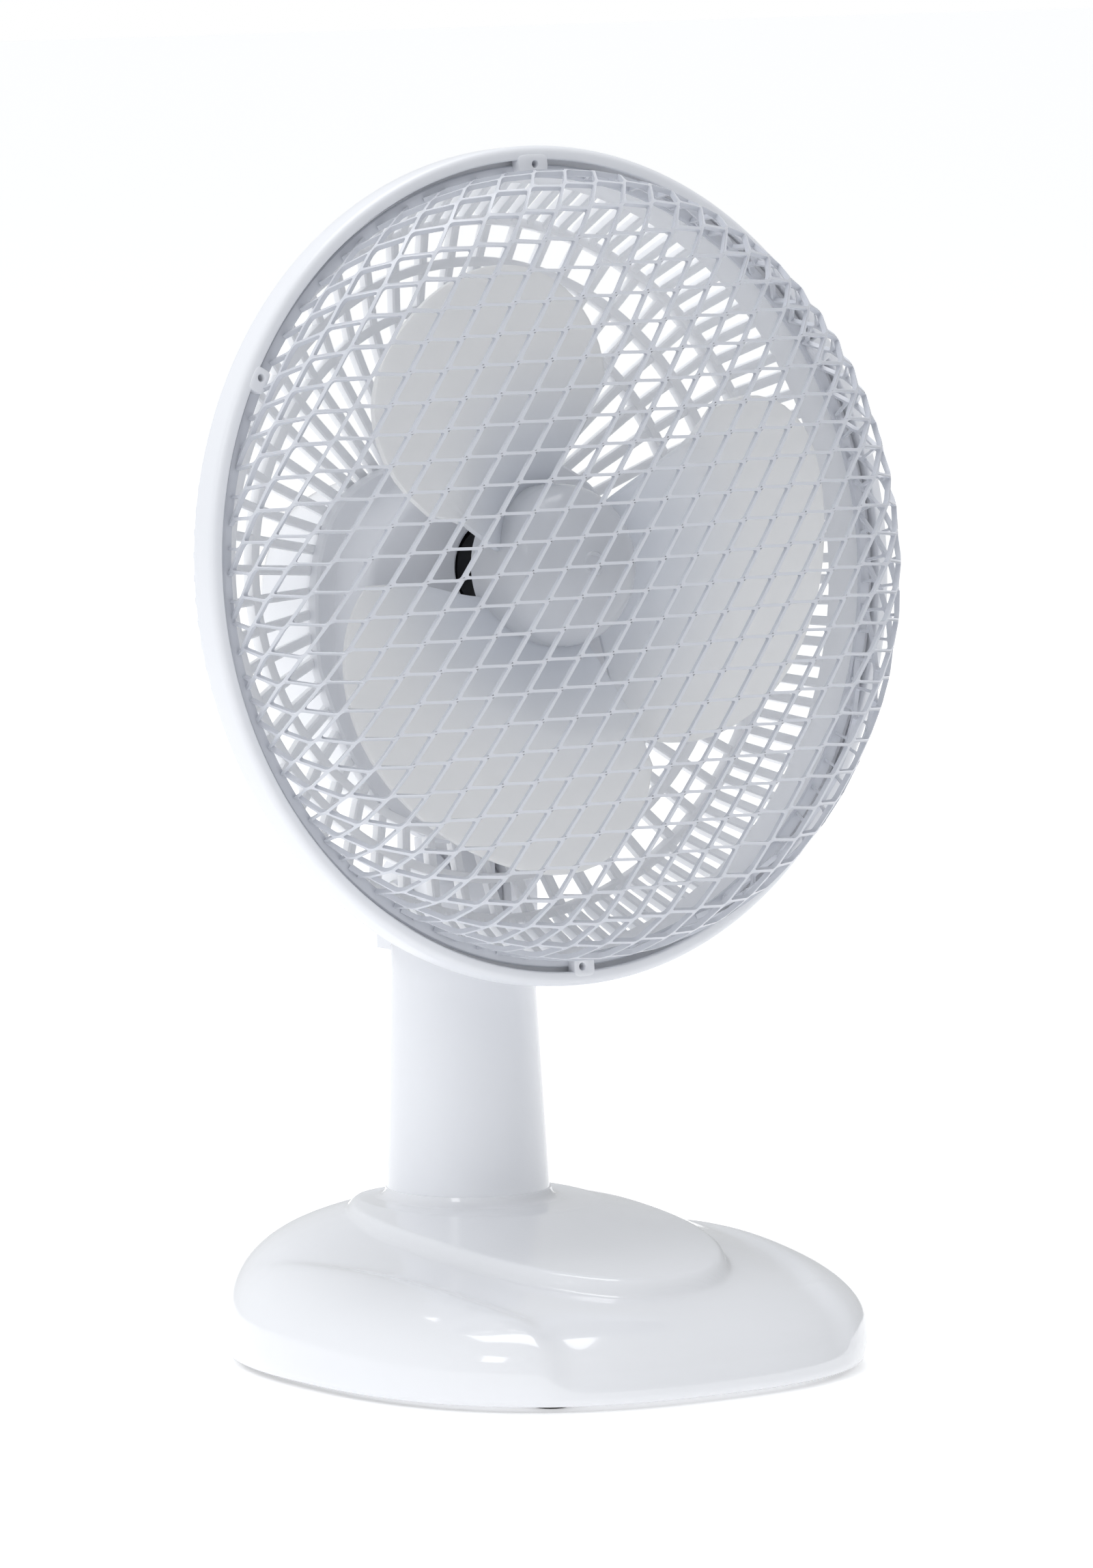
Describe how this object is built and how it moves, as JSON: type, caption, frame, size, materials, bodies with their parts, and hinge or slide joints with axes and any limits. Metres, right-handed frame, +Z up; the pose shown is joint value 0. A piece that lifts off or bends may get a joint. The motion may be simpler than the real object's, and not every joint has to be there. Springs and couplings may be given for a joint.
{
  "type": "desk fan",
  "caption": "Small desk fan with a round guarded head that tilts on a short neck, a three-blade rotor and a square domed base.",
  "frame": {"origin": "centre of the part's box in plan, on the plane that the feet stand on", "axes": "+Z up, the fan blows towards -Y, +X to the right of someone who faces the back of the fan"},
  "size_m": [0.195, 0.146, 0.2843],
  "materials": {
    "white_plastic": "glossy",
    "guard_plastic": "satin",
    "milky_plastic": "translucent milky",
    "black_plastic": "matte",
    "black_rubber": "matte",
    "zinc_steel": "zinc plated",
    "lamination_steel": "varnished laminations",
    "enamelled_copper": "enamelled winding",
    "sintered_bronze": "sintered"
  },
  "bodies": {
    "base": {"base_shell": "white_plastic", "base_plate": "white_plastic", "rubber_foot_1": "black_rubber", "rubber_foot_2": "black_rubber", "rubber_foot_3": "black_rubber", "rubber_foot_4": "black_rubber", "base_screw_1": "zinc_steel", "base_screw_2": "zinc_steel", "base_screw_3": "zinc_steel", "base_screw_4": "zinc_steel", "neck_screw_1": "zinc_steel", "neck_screw_2": "zinc_steel", "neck_foot": "white_plastic", "speed_switch": "black_plastic", "switch_nut": "zinc_steel", "terminal_block": "white_plastic", "cord_grommet": "black_plastic", "neck_front_shell": "white_plastic", "neck_rear_shell": "white_plastic", "tilt_yoke": "white_plastic", "tilt_bolt": "zinc_steel", "tilt_nut": "zinc_steel", "tilt_washer_left": "zinc_steel", "tilt_washer_right": "zinc_steel"},
    "head": {"guard_ring": "guard_plastic", "front_mesh": "guard_plastic", "rear_guard": "guard_plastic", "motor_housing": "white_plastic", "stator_core": "lamination_steel", "coil_left": "enamelled_copper", "coil_right": "enamelled_copper", "front_bracket": "black_plastic", "rear_bracket": "black_plastic", "front_bearing": "sintered_bronze", "rear_bearing": "sintered_bronze", "thrust_washer_front": "black_plastic", "thrust_washer_rear": "black_plastic", "motor_screw_1": "zinc_steel", "motor_screw_2": "zinc_steel", "motor_screw_3": "zinc_steel", "motor_screw_4": "zinc_steel"},
    "rotor": {"impeller": "milky_plastic", "motor_shaft": "zinc_steel", "rotor_core": "lamination_steel"},
    "knob": {"speed_knob": "white_plastic"}
  },
  "joints": [
    {"name": "head_tilt", "type": "hinge", "parent": "base", "child": "head", "pos_m": [0, 0.03242, 0.10648], "axis": [1, 0, 0], "range_deg": [-14, 16]},
    {"name": "fan_spin", "type": "hinge", "parent": "head", "child": "rotor", "pos_m": [0, -0.0051, 0.187], "axis": [0, 0.9942, -0.108], "continuous": true},
    {"name": "speed_turn", "type": "hinge", "parent": "base", "child": "knob", "pos_m": [0, 0.064, 0.0155], "axis": [0, 1, 0], "range_deg": [0, 90]}
  ]
}
